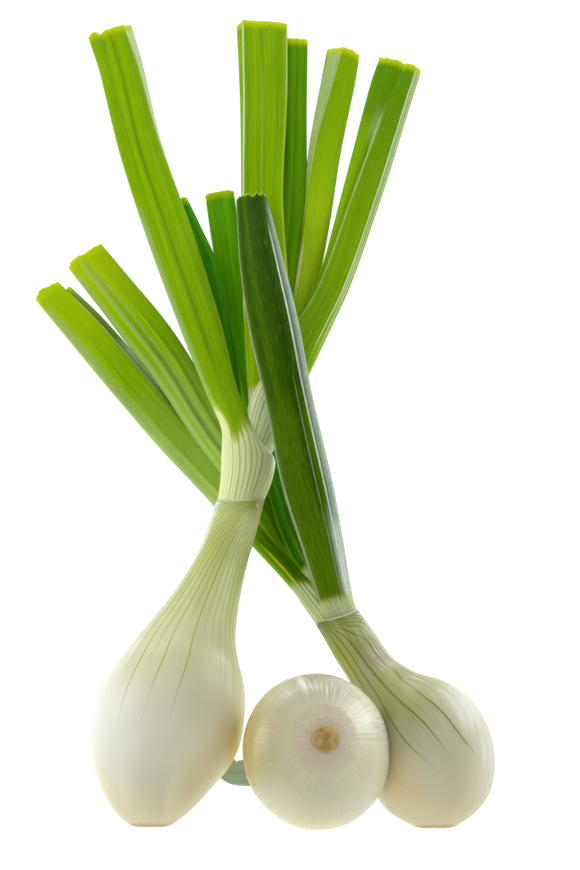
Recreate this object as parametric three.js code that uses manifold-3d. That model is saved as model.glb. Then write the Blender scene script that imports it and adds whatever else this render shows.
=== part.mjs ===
// A bunch of three white spring onions lying on a table, leaf ends trimmed.
// Millimetres, +Z up. The bulbs lie at -Y with their root ends towards -Y, and the leaves fan out
// towards +Y. The middle onion lies on its folded neck, so its root end looks up.
import * as THREE from "three";
import { mergeVertices } from "three/addons/utils/BufferGeometryUtils.js";
import Module from "manifold-3d";

// ---- Driving dimensions -----------------------------------------------------------------------
const GAP = 0.3; // between two pieces that touch or nest
const BULB_SIDES = 24;
const BULB_STEPS = 20;
const LEAF_SIDES = 12;
const LEAF_STEPS = 12;
const ROOT_PLATE_SIDES = 24;
const ROOT_PLATE_DEPTH = 2.2;
const ROOT_PLATE_PROUD = 0.5; // how far the root stub stands out of its bulb
const ROOT_PLATE_CROWN = 0.6; // radius of the stub's flat top, as a share of its own radius
const SIDE_ROOT_PLATE_RADIUS = 6.5;
const MIDDLE_ROOT_PLATE_RADIUS = 5.3;
const BUNCH_CENTRE_X = -13; // the stations below are moved by this much, so that the
const BUNCH_CENTRE_Y = 144; // origin is at the middle of the bunch, on the table
const TABLE_CUT_DEPTH = 10; // of the block that trims what sinks below the table
const TABLE_CUT_SIZE = 600;
const SECTION_TENSION = 0.5;
const MERGE_DISTANCE = 1e-4;

// ---- Stations ---------------------------------------------------------------------------------
// A piece is a closed rod along a smooth spine. Each station of the spine is
// [x, y, z, half width, half thickness], from the root end to the cut tip. A bulb is round, so its
// stations leave the half thickness out.
const LEFT_BULB = [
  [-49.2, -29, 11.5, 8],
  [-49.2, -27, 12.4, 10.6],
  [-48.9, -20.5, 15.5, 16.6],
  [-47, -9, 20.8, 23.4],
  [-43.4, 4, 26.2, 26.6],
  [-40, 16, 28, 24.9],
  [-37.4, 28, 28, 20.2],
  [-34.7, 38.5, 27.5, 15.7],
  [-30.2, 52.5, 27, 12],
  [-25.4, 69.5, 26, 10],
  [-21.4, 82, 25.5, 9.1],
  [-18.7, 92, 25, 8.8],
];
const RIGHT_BULB = [
  [51.2, -28.8, 10, 8],
  [51.2, -26.9, 10.9, 10.4],
  [50.9, -21, 13.9, 17.4],
  [50.2, -11, 18.9, 21.8],
  [48.5, -1.4, 22.2, 22.3],
  [43.9, 7.2, 22.6, 19.3],
  [38.2, 15.3, 21.5, 13],
  [30, 27, 20, 8.9],
  [23.6, 38.7, 19, 8.9],
  [19, 47, 18, 8.5],
];
// The middle bulb turns on a straight axis: [distance from the root end, radius]. It is a little
// wider along Y than across.
const MIDDLE_ROOT = [12.1, -15.4, 54];
const MIDDLE_STRETCH_Y = 1.08;
const MIDDLE_AXIS = [-0.16, 0.176, -0.97];
const MIDDLE_PROFILE = [
  [0, 7],
  [1.6, 12],
  [6, 19.5],
  [11, 24],
  [16.5, 26],
  [22, 25.4],
  [28, 22.6],
  [34, 18],
  [40, 12],
  [44, 6.5],
];
const MIDDLE_NECK = [
  [6.5, -9.5, 20, 9, 9],
  [4, -7.5, 12.5, 8.5, 8],
  [-1.5, -6, 8, 7.6, 6],
  [-7, -5.2, 5.6, 6.9, 4.6],
  [-12, -5, 4.5, 6.5, 3.9],
];

// Left onion. The first leaf is the outer sheath and its blade; the others rise from inside it.
const LEFT_LEAVES = {
  left_leaf_2: [
    [-17, 108, 26, 2.2, 2],
    [-19, 124, 25, 2.6, 2],
    [-21.5, 141, 21.5, 3.4, 2],
    [-26.3, 170, 15, 5.4, 2.2],
    [-32.2, 205, 10, 4.8, 2.2],
    [-38, 225, 7, 3.6, 2],
    [-43, 240, 5, 2.9, 1.8],
  ],
  left_leaf_4: [
    [-11, 118, 24.5, 3, 3],
    [-9.6, 138, 23, 6, 3.6],
    [-9, 180, 16.8, 8.7, 3.4],
    [-10.8, 237, 11.5, 8.2, 3],
    [-10.5, 285, 7.2, 9.4, 2.5],
    [-11.3, 327.4, 2.1, 10.3, 2.1],
  ],
  left_leaf_5: [
    [-9, 122, 20.5, 2.4, 1.8],
    [-6, 152, 15.5, 4.4, 2],
    [-2.7, 194, 11, 5, 2.2],
    [1.4, 237, 7.6, 4.8, 2.2],
    [2.1, 283, 4.6, 4.6, 2],
    [2.6, 319.8, 1.7, 4.6, 1.7],
  ],
  left_leaf_6: [
    [-6, 126, 20, 2.4, 1.8],
    [-0.5, 158, 14.5, 3.4, 2.2],
    [5.2, 190, 11, 4.4, 2.6],
    [10.3, 229, 8, 5.4, 2.6],
    [13.6, 262, 6, 6.4, 2.4],
    [19.5, 299.5, 3.2, 6.8, 2.1],
    [21.5, 314.1, 1.8, 6.7, 1.8],
  ],
  left_leaf_3: [
    [-15.5, 104, 25, 5, 5],
    [-12, 119, 25, 6.4, 5.6],
    [-8, 133, 25, 7.8, 5],
    [-2.5, 147, 23, 7.8, 4],
    [8.5, 173, 18.5, 6.4, 3.4],
    [16, 193, 15, 6.2, 3.1],
    [28.5, 242, 9, 7.8, 2.7],
    [40.4, 292.7, 3.8, 8.9, 2.2],
    [44.3, 307.6, 2, 8.9, 2],
  ],
  left_leaf_1: [
    [-21, 83, 25.5, 7.4, 7.4],
    [-18.7, 93, 25, 8, 8],
    [-16.8, 105, 25.6, 8.7, 8],
    [-17.4, 115, 26, 8, 7],
    [-20.2, 127, 25.4, 5.6, 5],
    [-25.6, 143, 23, 5.8, 4],
    [-33.5, 172.5, 19.5, 7.7, 3.2],
    [-46, 217, 12.8, 8.8, 2.9],
    [-58.7, 262, 8, 8.6, 2.6],
    [-68.4, 307.7, 3.4, 8.9, 2.2],
    [-72.7, 323.6, 2, 9.2, 2],
  ],
};

// Right onion. The first leaf rises over the left onion; the others pass under its neck.
const RIGHT_LEAVES = {
  right_leaf_5: [
    [10, 66, 15, 2.2, 1.8],
    [3.1, 79, 13.5, 3.2, 2.2],
    [-3.3, 101, 11.6, 4.3, 2.4],
    [-11.3, 132, 9.4, 4.2, 2.4],
    [-19, 171, 7, 4.6, 2.4],
    [-24.9, 222, 4.2, 5.6, 2.1],
    [-27.7, 245.2, 1.8, 5.7, 1.8],
  ],
  right_leaf_4: [
    [9.5, 64, 12.5, 2.8, 2.2],
    [2.5, 78, 10.5, 4.6, 2.8],
    [-14.5, 109, 9.5, 6.2, 3],
    [-29.7, 134, 8, 7, 3],
    [-46, 165, 5.8, 8.2, 2.9],
    [-56, 181, 4.6, 8.8, 2.6],
    [-69, 200.3, 3.2, 8.5, 2.3],
    [-79.8, 216, 2, 8.2, 2],
  ],
  right_leaf_2: [
    [18.4, 45.2, 17, 6.2, 4.8],
    [15.4, 51.2, 15.5, 6.3, 4.8],
    [10.8, 60.2, 13, 6.4, 4.6],
    [5, 70.5, 10.5, 6.2, 4],
    [-7, 88.5, 8, 7.5, 3.6],
    [-23.7, 110, 5.6, 7.8, 3],
    [-43.6, 134, 4, 7.2, 2.8],
    [-59.7, 155.2, 3.2, 7.2, 2.5],
    [-77.9, 179.8, 2.6, 7, 2.2],
    [-94.2, 200.4, 1.9, 5.8, 1.9],
  ],
  right_leaf_3: [
    [-14, 108, 3.4, 1.6, 1],
    [-37, 141, 2.4, 2, 1],
    [-56, 164.5, 1.6, 1.9, 1],
    [-73.8, 188, 1.2, 1.4, 1],
    [-86, 201.5, 1.2, 1.3, 1],
  ],
  right_leaf_1: [
    [22, 43.5, 17.4, 5.4, 5.4],
    [18.2, 51, 19, 6.2, 6],
    [16.3, 57, 21.5, 6.3, 5.6],
    [11.5, 75.5, 29, 7.8, 4.8],
    [6.5, 95, 35, 9.2, 4.6],
    [-0.6, 131.5, 38, 8.8, 4.6],
    [-5.8, 162, 35.5, 9.4, 4.2],
    [-10.6, 194, 30, 8.4, 3.5],
    [-14.9, 229.2, 22.4, 6, 2.6],
  ],
};

// Middle onion. Two flattened leaves leave its folded neck and run beside the left bulb.
const MIDDLE_LEAVES = {
  middle_leaf_1: [
    [-5, -5.6, 6.4, 4.6, 1],
    [-14, -5, 4.6, 5.2, 1],
    [-21, -4.4, 3.6, 4.4, 1],
    [-24.6, 1.5, 3.2, 4, 0.9],
    [-25.4, 14, 3, 4, 0.9],
    [-27, 36, 3.2, 4, 0.9],
    [-26, 60, 3.2, 4, 0.9],
    [-21.5, 84, 3.2, 4, 0.9],
  ],
  middle_leaf_2: [
    [-6, -5.4, 3.6, 4.2, 0.9],
    [-14, -4.9, 2.2, 4.6, 0.9],
    [-21, -4, 1.2, 4, 0.9],
    [-24.6, 1.5, 1, 3.8, 0.9],
    [-25.2, 14, 1, 3.8, 0.9],
    [-26.6, 32, 1, 4, 0.9],
    [-28.5, 52, 1, 3.6, 0.9],
  ],
};

const FINISHES = {
  bulb: { color: 0xe6e6d2, roughness: 0.3 },
  root: { color: 0xa8854c, roughness: 0.9 },
  leaf: { color: 0x7aa012, roughness: 0.45 },
  darkLeaf: { color: 0x3f6410, roughness: 0.45 },
  greyLeaf: { color: 0x6d8a5e, roughness: 0.45 },
};

// ---- Shapes -----------------------------------------------------------------------------------
const UP = new THREE.Vector3(0, 0, 1);
const MIDDLE_INWARD = new THREE.Vector3(...MIDDLE_AXIS).normalize();

// A closed rod whose sections follow the stations. `grow` swells it on every side, for a socket.
function bentRod(stations, sides, steps, grow = 0) {
  const spine = new THREE.CatmullRomCurve3(
    stations.map(([x, y, z]) => new THREE.Vector3(x, y, z)),
  );
  const section = new THREE.CatmullRomCurve3(
    stations.map(([, , , width, thickness = width]) => new THREE.Vector3(width, thickness, 0)),
    false,
    "catmullrom",
    SECTION_TENSION,
  );
  const rod = new THREE.CylinderGeometry(1, 1, 1, sides, steps);
  const position = rod.getAttribute("position");
  for (let i = 0; i < position.count; i += 1) {
    const along = THREE.MathUtils.clamp(position.getY(i) + 0.5, 0, 1);
    const tangent = spine.getTangent(along);
    const side = new THREE.Vector3().crossVectors(tangent, UP).normalize();
    const normal = new THREE.Vector3().crossVectors(side, tangent);
    const half = section.getPoint(along);
    const point = spine.getPoint(along);
    point.addScaledVector(side, position.getX(i) * (half.x + grow));
    point.addScaledVector(normal, position.getZ(i) * (half.y + grow));
    if (along === 0) point.addScaledVector(tangent, -grow);
    if (along === 1) point.addScaledVector(tangent, grow);
    position.setXYZ(i, point.x, point.y, point.z);
  }
  return rod;
}

// Turns +Y of a lathed shape to the given direction and moves its foot to the given point.
function placed(geometry, foot, direction) {
  const turn = new THREE.Quaternion().setFromUnitVectors(new THREE.Vector3(0, 1, 0), direction);
  const place = new THREE.Matrix4().compose(foot, turn, new THREE.Vector3(1, 1, 1));
  return geometry.clone().applyMatrix4(place);
}

// The body of the middle bulb, turned about its own axis and then placed and stretched.
function middleBody(grow = 0) {
  const profile = new THREE.SplineCurve(
    MIDDLE_PROFILE.map(([distance, radius]) => new THREE.Vector2(radius + grow, distance)),
  );
  const outline = profile.getPoints(BULB_STEPS);
  outline[0].y -= grow;
  outline[BULB_STEPS].y += grow;
  const rootEnd = new THREE.Vector2(0, outline[0].y);
  const neckEnd = new THREE.Vector2(0, outline[BULB_STEPS].y);
  const turned = new THREE.LatheGeometry([rootEnd, ...outline, neckEnd], BULB_SIDES);
  return placed(turned, new THREE.Vector3(), MIDDLE_INWARD)
    .scale(1, MIDDLE_STRETCH_Y, 1)
    .translate(...MIDDLE_ROOT);
}

// The dry stub of a root plate: a low dome with a flat foot.
function rootPlate(radius, grow = 0) {
  const wide = radius + grow;
  const deep = ROOT_PLATE_DEPTH + grow;
  const outline = [
    new THREE.Vector2(0, -deep),
    new THREE.Vector2(wide, -deep),
    new THREE.Vector2(wide, 0),
    new THREE.Vector2(wide * ROOT_PLATE_CROWN, ROOT_PLATE_PROUD),
    new THREE.Vector2(0, ROOT_PLATE_PROUD),
  ];
  return new THREE.LatheGeometry(outline, ROOT_PLATE_SIDES);
}

// ---- Joining and cutting ----------------------------------------------------------------------
const wasm = await Module();
wasm.setup();

function solidOf(geometry) {
  const bare = geometry.clone();
  bare.deleteAttribute("normal");
  bare.deleteAttribute("uv");
  const merged = mergeVertices(bare, MERGE_DISTANCE);
  return new wasm.Manifold(
    new wasm.Mesh({
      numProp: 3,
      vertProperties: merged.getAttribute("position").array,
      triVerts: new Uint32Array(merged.index.array),
    }),
  );
}

function geometryOf(solid) {
  const mesh = solid.getMesh();
  const geometry = new THREE.BufferGeometry();
  geometry.setAttribute("position", new THREE.BufferAttribute(mesh.vertProperties, mesh.numProp));
  geometry.setIndex(new THREE.BufferAttribute(mesh.triVerts, 1));
  geometry.computeVertexNormals();
  return geometry;
}

// The largest body of a solid, without the crumbs that a cut may leave.
function mainBody(solid) {
  const bodies = solid.decompose();
  return bodies.reduce((best, body) => (body.volume() > best.volume() ? body : best));
}

// Everything below the table, to leave a flat patch where a piece lies on it.
const belowTable = solidOf(
  new THREE.BoxGeometry(TABLE_CUT_SIZE, TABLE_CUT_SIZE, TABLE_CUT_DEPTH).translate(
    0,
    0,
    -TABLE_CUT_DEPTH / 2,
  ),
);

// ---- Assembly ---------------------------------------------------------------------------------
const bunch = new THREE.Group();
const sockets = []; // the swollen shapes of the pieces made so far, which later pieces make room for

function addPiece(name, solid, socket, finish) {
  const cut = sockets.reduce((rest, other) => rest.subtract(other), solid.subtract(belowTable));
  const mesh = new THREE.Mesh(geometryOf(mainBody(cut)), new THREE.MeshStandardMaterial(finish));
  mesh.name = name;
  bunch.add(mesh);
  sockets.push(socket);
}

function addRod(name, stations, sides, steps, finish) {
  const solid = solidOf(bentRod(stations, sides, steps));
  const socket = solidOf(bentRod(stations, sides, steps, GAP));
  addPiece(name, solid, socket, finish);
}

function addRootPlate(name, radius, foot, outward) {
  const solid = solidOf(placed(rootPlate(radius), foot, outward));
  const socket = solidOf(placed(rootPlate(radius, GAP), foot, outward));
  addPiece(name, solid, socket, FINISHES.root);
}

// The root end of a bulb that follows stations, and the way it faces.
function rootEnd(stations) {
  const [foot, next] = stations.map(([x, y, z]) => new THREE.Vector3(x, y, z));
  return { foot, outward: foot.clone().sub(next).normalize() };
}

function addLeaves(leaves, finish) {
  for (const [name, stations] of Object.entries(leaves)) {
    addRod(name, stations, LEAF_SIDES, LEAF_STEPS, finish);
  }
}

// Inner pieces come first, because each outer piece is cut to wrap the ones before it.
addLeaves(LEFT_LEAVES, FINISHES.leaf);
addLeaves(RIGHT_LEAVES, FINISHES.darkLeaf);
addLeaves(MIDDLE_LEAVES, FINISHES.greyLeaf);

for (const [side, stations] of [["left", LEFT_BULB], ["right", RIGHT_BULB]]) {
  const { foot, outward } = rootEnd(stations);
  addRootPlate(`${side}_root_plate`, SIDE_ROOT_PLATE_RADIUS, foot, outward);
}
addRootPlate(
  "middle_root_plate",
  MIDDLE_ROOT_PLATE_RADIUS,
  new THREE.Vector3(...MIDDLE_ROOT),
  MIDDLE_INWARD.clone().negate(),
);

// The body of the middle bulb together with its folded neck.
function middleBulb(grow = 0) {
  const neck = solidOf(bentRod(MIDDLE_NECK, BULB_SIDES, LEAF_STEPS, grow));
  return solidOf(middleBody(grow)).add(neck);
}
addPiece("middle_bulb", middleBulb(), middleBulb(GAP), FINISHES.bulb);
addRod("left_bulb", LEFT_BULB, BULB_SIDES, BULB_STEPS, FINISHES.bulb);
addRod("right_bulb", RIGHT_BULB, BULB_SIDES, BULB_STEPS, FINISHES.bulb);

bunch.position.set(-BUNCH_CENTRE_X, -BUNCH_CENTRE_Y, 0);

export default bunch;
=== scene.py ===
import math

import bpy
import numpy as np
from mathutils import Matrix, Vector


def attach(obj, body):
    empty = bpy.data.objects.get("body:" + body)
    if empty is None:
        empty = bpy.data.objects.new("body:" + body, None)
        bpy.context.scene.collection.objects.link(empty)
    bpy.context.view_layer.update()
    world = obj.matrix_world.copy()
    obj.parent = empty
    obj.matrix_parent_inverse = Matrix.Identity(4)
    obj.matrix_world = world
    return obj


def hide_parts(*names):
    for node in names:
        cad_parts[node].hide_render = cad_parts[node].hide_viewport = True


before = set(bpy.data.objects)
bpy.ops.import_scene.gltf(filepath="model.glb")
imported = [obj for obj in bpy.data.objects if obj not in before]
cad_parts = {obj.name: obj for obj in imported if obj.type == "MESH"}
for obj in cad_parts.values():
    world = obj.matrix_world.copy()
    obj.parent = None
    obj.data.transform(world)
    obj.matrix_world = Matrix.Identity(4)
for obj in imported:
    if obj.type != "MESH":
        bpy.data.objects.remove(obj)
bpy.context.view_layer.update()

# A bunch of three white spring onions on a table. Stations are in millimetres, as in the CAD source:
# [x, y, z, half width, half thickness if it differs] from the root end to the cut tip, moved by SHIFT.
MM = 0.001
SHIFT = np.array([13.0, -144.0, 0.0])
UP = np.array([0.0, 0.0, 1.0])

LEFT_BULB = [
    [-49.2, -29, 11.5, 7], [-49.2, -28.3, 11.8, 9], [-49.2, -27, 12.4, 11], [-48.9, -20.5, 15.5, 16.8],
    [-47.3, -9, 20.8, 23.8, 23.4], [-43.6, 4, 26.2, 26.9, 26.6], [-40, 16, 28, 24.9], [-37.4, 28, 28, 20.2],
    [-34.7, 38.5, 27.5, 15.7], [-30.2, 52.5, 27, 12], [-24.9, 69.5, 26, 9.4], [-21.4, 82, 25.5, 9],
    [-18.7, 92, 25, 8.5], [-17.4, 97.4, 25.4, 8.45],
]
RIGHT_BULB = [
    [51.2, -28.8, 10, 6.9], [51.2, -28.1, 10.3, 9.2], [51.2, -26.9, 10.9, 12, 11],
    [50.9, -21, 13.9, 18.8, 17.4], [50.2, -11, 18.9, 22.8, 21.8], [48.5, -1.4, 22.2, 22.6, 22.3],
    [43.9, 7.2, 22.6, 19.3], [38.2, 15.3, 21.5, 13], [30, 27, 20, 8.9], [23.6, 38.7, 19, 8.7],
    [19, 47, 18, 8], [16.4, 51.8, 17.4, 7.9],
]
# The middle bulb's axis starts at its root end, and its profile gives [distance along, radius].
MIDDLE_ROOT = np.array([12.1, -15.4, 54.0])
MIDDLE_AXIS = np.array([-0.16, 0.176, -0.97])
MIDDLE_STRETCH_Y = 1.08
MIDDLE_PROFILE = [
    [0, 7], [1.6, 12], [6, 19.5], [11, 24], [16.5, 26], [22, 25.4], [28, 22.6], [33, 18.6], [37, 14.2],
]
MIDDLE_NECK = [
    [5, -8, 14.5, 10.6, 10], [1, -6.6, 9.8, 8.6, 7.4], [-3.5, -5.8, 7, 7.3, 5.4],
    [-7.5, -5.2, 5.5, 6.8, 4.5], [-12, -5, 4.5, 6.5, 3.9],
]
LEAVES = {
    "left_leaf_1": [
        [-21, 83, 25.5, 7.4], [-18.7, 93, 25, 8], [-16.8, 105, 25.6, 8.7, 8],
        [-17.4, 115, 26, 8, 7], [-20.2, 127, 25.4, 5.6, 5], [-25.6, 143, 23, 5.8, 4],
        [-33.5, 172.5, 19.5, 7.7, 3.2], [-46, 217, 12.8, 8.8, 2.9], [-58.7, 262, 8, 8.6, 2.6],
        [-68.4, 307.7, 3.4, 8.9, 2.2], [-72.7, 323.6, 2, 9.2, 2],
    ],
    "left_leaf_2": [
        [-17, 108, 26, 2.2, 2], [-19, 124, 25, 2.6, 2], [-21.5, 141, 21.5, 3.4, 2],
        [-26.3, 170, 15, 5.4, 2.2], [-32.2, 205, 10, 4.8, 2.2], [-38, 225, 7, 3.6, 2],
        [-43, 240, 5, 2.9, 1.8],
    ],
    "left_leaf_3": [
        [-15.5, 104, 25, 5], [-12, 119, 25, 6.4, 5.6], [-8, 133, 25, 7.8, 5], [-2.5, 147, 23, 7.8, 4],
        [8.5, 173, 18.5, 6.4, 3.4], [16, 193, 15, 6.2, 3.1], [28.5, 242, 9, 7.8, 2.7],
        [40.4, 292.7, 3.8, 8.9, 2.2], [44.3, 307.6, 2, 8.9, 2],
    ],
    "left_leaf_4": [
        [-11, 118, 24.5, 3], [-9.6, 138, 23, 6, 3.6], [-9, 180, 16.8, 8.7, 3.4],
        [-10.8, 237, 11.5, 8.2, 3], [-10.5, 285, 7.2, 9.4, 2.5], [-11.3, 327.4, 2.1, 10.3, 2.1],
    ],
    "left_leaf_5": [
        [-9, 122, 20.5, 2.4, 1.8], [-6, 152, 15.5, 4.4, 2], [-2.7, 194, 11, 5, 2.2],
        [1.4, 237, 7.6, 4.8, 2.2], [2.1, 283, 4.6, 4.6, 2], [2.6, 319.8, 1.7, 4.6, 1.7],
    ],
    "left_leaf_6": [
        [-6, 126, 20, 2.4, 1.8], [-0.5, 158, 14.5, 3.4, 2.2], [5.2, 190, 11, 4.4, 2.6],
        [10.3, 229, 8, 5.4, 2.6], [13.6, 262, 6, 6.4, 2.4], [19.5, 299.5, 3.2, 6.8, 2.1],
        [21.5, 314.1, 1.8, 6.7, 1.8],
    ],
    "right_leaf_1": [
        [22, 43.5, 17.4, 5.4], [18.2, 51, 19, 6.2, 6], [16.3, 57, 21.5, 6.3, 5.6],
        [11.5, 75.5, 29, 7.8, 4.8], [6.5, 95, 35, 9.2, 4.6], [-0.6, 131.5, 38, 8.8, 4.6],
        [-5.8, 162, 35.5, 9.4, 4.2], [-10.6, 194, 30, 8.4, 3.5], [-14.9, 229.2, 22.4, 6, 2.6],
    ],
    "right_leaf_2": [
        [18.4, 45.2, 17, 6.2, 4.8], [15.4, 51.2, 15.5, 6.3, 4.8], [10.8, 60.2, 13, 6.4, 4.6],
        [5, 70.5, 10.5, 6.2, 4], [-7, 88.5, 8, 7.5, 3.6], [-23.7, 110, 5.6, 7.8, 3],
        [-43.6, 134, 4, 7.2, 2.8], [-59.7, 155.2, 3.2, 7.2, 2.5], [-77.9, 179.8, 2.6, 7, 2.2],
        [-94.2, 200.4, 1.9, 5.8, 1.9],
    ],
    "right_leaf_3": [
        [-14, 108, 3.4, 1.6, 1], [-37, 141, 2.4, 2, 1], [-56, 164.5, 1.6, 1.9, 1],
        [-73.8, 188, 1.2, 1.4, 1], [-86, 201.5, 1.2, 1.3, 1],
    ],
    "right_leaf_4": [
        [9.5, 64, 12.5, 2.8, 2.2], [2.5, 78, 10.5, 4.6, 2.8], [-14.5, 109, 9.5, 6.2, 3],
        [-29.7, 134, 8, 7, 3], [-46, 165, 5.8, 8.2, 2.9], [-56, 181, 4.6, 8.8, 2.6],
        [-69, 200.3, 3.2, 8.5, 2.3], [-79.8, 216, 2, 8.2, 2],
    ],
    "right_leaf_5": [
        [10, 66, 15, 2.2, 1.8], [3.1, 79, 13.5, 3.2, 2.2], [-3.3, 101, 11.6, 4.3, 2.4],
        [-11.3, 132, 9.4, 4.2, 2.4], [-19, 171, 7, 4.6, 2.4], [-24.9, 222, 4.2, 5.6, 2.1],
        [-27.7, 245.2, 1.8, 5.7, 1.8],
    ],
    "middle_leaf_1": [
        [-5, -5.6, 6.4, 4.6, 1], [-14, -5, 4.6, 5.2, 1], [-21, -4.4, 3.6, 4.4, 1],
        [-24.6, 1.5, 3.2, 4, 0.9], [-25.4, 14, 3, 4, 0.9], [-27, 36, 3.2, 4, 0.9], [-26, 60, 3.2, 4, 0.9],
        [-21.5, 84, 3.2, 4, 0.9],
    ],
    "middle_leaf_2": [
        [-6, -5.4, 3.6, 4.2, 0.9], [-14, -4.9, 2.2, 4.6, 0.9], [-21, -4, 1.2, 4, 0.9],
        [-24.6, 1.5, 1, 3.8, 0.9], [-25.2, 14, 1, 3.8, 0.9], [-26.6, 32, 1, 4, 0.9],
        [-28.5, 52, 1, 3.6, 0.9],
    ],
}


# ---- Curves and grids
FINE_STEPS = 3000
TANGENT_STEP = 1e-4


def smooth(value, low, high):
    """0 below low, 1 above high, and smooth between; low may be above high."""
    w = np.clip((np.asarray(value, float) - low) / (high - low), 0, 1)
    return w * w * (3 - 2 * w)


def spline(points, t, centripetal=True):
    """A curve through the points, at places t from 0 to 1: by chord lengths, or evenly."""
    points = np.asarray(points, float)
    count = len(points)
    padded = np.vstack([2 * points[0] - points[1], points, 2 * points[-1] - points[-2]])
    place = np.clip(t, 0, 1) * (count - 1)
    first = np.minimum(place.astype(int), count - 2)
    w = (place - first)[:, None]
    a, b, c, d = (padded[first + k] for k in range(4))
    if centripetal:
        ab, bc, cd = (
            np.maximum(np.linalg.norm(q - p, axis=1), 1e-9)[:, None] ** 0.5
            for p, q in ((a, b), (b, c), (c, d))
        )
        start = ((b - a) / ab - (c - a) / (ab + bc) + (c - b) / bc) * bc
        end = ((c - b) / bc - (d - b) / (bc + cd) + (d - c) / cd) * bc
    else:
        start, end = (c - a) / 2, (d - b) / 2
    return b + start * w + (3 * (c - b) - 2 * start - end) * w**2 + (2 * (b - c) + start + end) * w**3


def eased(values, reach):
    """Values smoothed over `reach` samples, with both ends kept."""
    pad = int(3 * reach)
    spread = np.exp(-0.5 * (np.arange(-pad, pad + 1) / reach) ** 2)
    spread /= spread.sum()
    columns = values.reshape(len(values), -1)
    before = 2 * columns[0] - columns[pad:0:-1]
    after = 2 * columns[-1] - columns[-2:-pad - 2:-1]
    long = np.vstack([before, columns, after])
    made = [np.convolve(long[:, k], spread, mode="valid") for k in range(columns.shape[1])]
    return np.stack(made, 1).reshape(values.shape)


def unit(vectors):
    return vectors / np.linalg.norm(vectors, axis=-1, keepdims=True)


def placed(name, data):
    """A new object in the scene."""
    made = bpy.data.objects.new(name, data)
    bpy.context.scene.collection.objects.link(made)
    return made


class Sweep:
    """Even sections along the spine through the stations, smoothed over `ease` mm."""

    def __init__(self, stations, count, ease=0.0):
        rows = np.array([s if len(s) == 5 else [*s, s[3]] for s in stations], float)
        fine = np.linspace(0, 1, FINE_STEPS)
        path = spline(rows[:, :3], fine)
        length = np.r_[0, np.cumsum(np.linalg.norm(np.diff(path, axis=0), axis=1))]
        self.length = length[-1]
        self.along = np.linspace(0, self.length, count)
        t = np.interp(self.along, length, fine)
        self.point = spline(rows[:, :3], t)
        ahead = spline(rows[:, :3], np.clip(t + TANGENT_STEP, 0, 1))
        behind = spline(rows[:, :3], np.clip(t - TANGENT_STEP, 0, 1))
        self.tangent = unit(ahead - behind)
        if ease:
            reach = ease / (self.length / (count - 1))
            self.point = eased(self.point, reach)
            self.tangent = unit(eased(self.tangent, reach))
        self.side = unit(np.cross(self.tangent, UP))
        self.normal = np.cross(self.side, self.tangent)
        half = spline(np.c_[rows[:, 3:], np.zeros(len(rows))], t, centripetal=False)
        if ease:
            half = eased(half, reach)
        self.wide, self.thick = half[:, 0], half[:, 1]

    def rings(self, side, normal, ahead=None):
        """Points of each section, from distances to the side, up and ahead (arrays rings by columns)."""
        out = self.point[:, None] + side[..., None] * self.side[:, None]
        out = out + normal[..., None] * self.normal[:, None]
        if ahead is not None:
            out = out + ahead[..., None] * self.tangent[:, None]
        return out


def columns(count, seam=-math.pi / 2):
    """Angles round a section, from its seam."""
    return seam + 2 * math.pi * np.arange(count) / count


def grid_piece(name, rings, points, corners):
    """A closed piece from rings of points in mm. points: name -> value at each ring and column, and
    corners: name -> (u, v) at each ring and column, with one column more for the seam."""
    count, around = rings.shape[:2]
    ends = [rings[0].mean(0), rings[-1].mean(0)]
    co = (np.vstack([rings.reshape(-1, 3), ends]) + SHIFT) * MM
    co[:, 2] = np.maximum(co[:, 2], 0)
    cap = np.arange(around)
    after = (cap + 1) % around
    r, j = np.meshgrid(np.arange(count - 1), cap, indexing="ij")
    here, there = r * around + j, r * around + after[j]
    quads = np.stack([here, there, there + around, here + around], -1).reshape(-1, 4)
    first = np.stack([np.full(around, len(co) - 2), after, cap], -1)
    base = (count - 1) * around
    last = np.stack([np.full(around, len(co) - 1), base + cap, base + after], -1)
    mesh = bpy.data.meshes.new(name)
    mesh.vertices.add(len(co))
    mesh.vertices.foreach_set("co", co.ravel())
    loops = np.r_[quads.ravel(), first.ravel(), last.ravel()]
    sizes = np.r_[np.full(len(quads), 4), np.full(2 * around, 3)]
    mesh.loops.add(len(loops))
    mesh.loops.foreach_set("vertex_index", loops.astype(np.int32))
    mesh.polygons.add(len(sizes))
    starts = np.r_[0, np.cumsum(sizes)[:-1]]
    mesh.polygons.foreach_set("loop_start", starts.astype(np.int32))
    for key, value in points.items():
        value = np.asarray(value, float)
        wide = value.ndim == 3
        flat = value.reshape(count * around, -1)
        flat = np.vstack([flat, flat[:around].mean(0), flat[-around:].mean(0)])
        made = mesh.attributes.new(key, "FLOAT_VECTOR" if wide else "FLOAT", "POINT")
        made.data.foreach_set("vector" if wide else "value", flat.astype(np.float32).ravel())
    for key, value in corners.items():
        layer = mesh.uv_layers.new(name=key)
        quad = np.stack([value[r, j], value[r, j + 1], value[r + 1, j + 1], value[r + 1, j]], 2)
        flat = [quad.ravel()]
        for end, one, other in ((value[0], cap + 1, cap), (value[-1], cap, cap + 1)):
            middle = np.broadcast_to(end.mean(0), (around, 2))
            flat.append(np.stack([middle, end[one], end[other]], 1).ravel())
        layer.uv.foreach_set("vector", np.concatenate(flat).astype(np.float32))
    mesh.update(calc_edges=True)
    mesh.validate()
    mesh.polygons.foreach_set("use_smooth", np.ones(len(mesh.polygons), bool))
    return placed(name, mesh)


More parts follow.
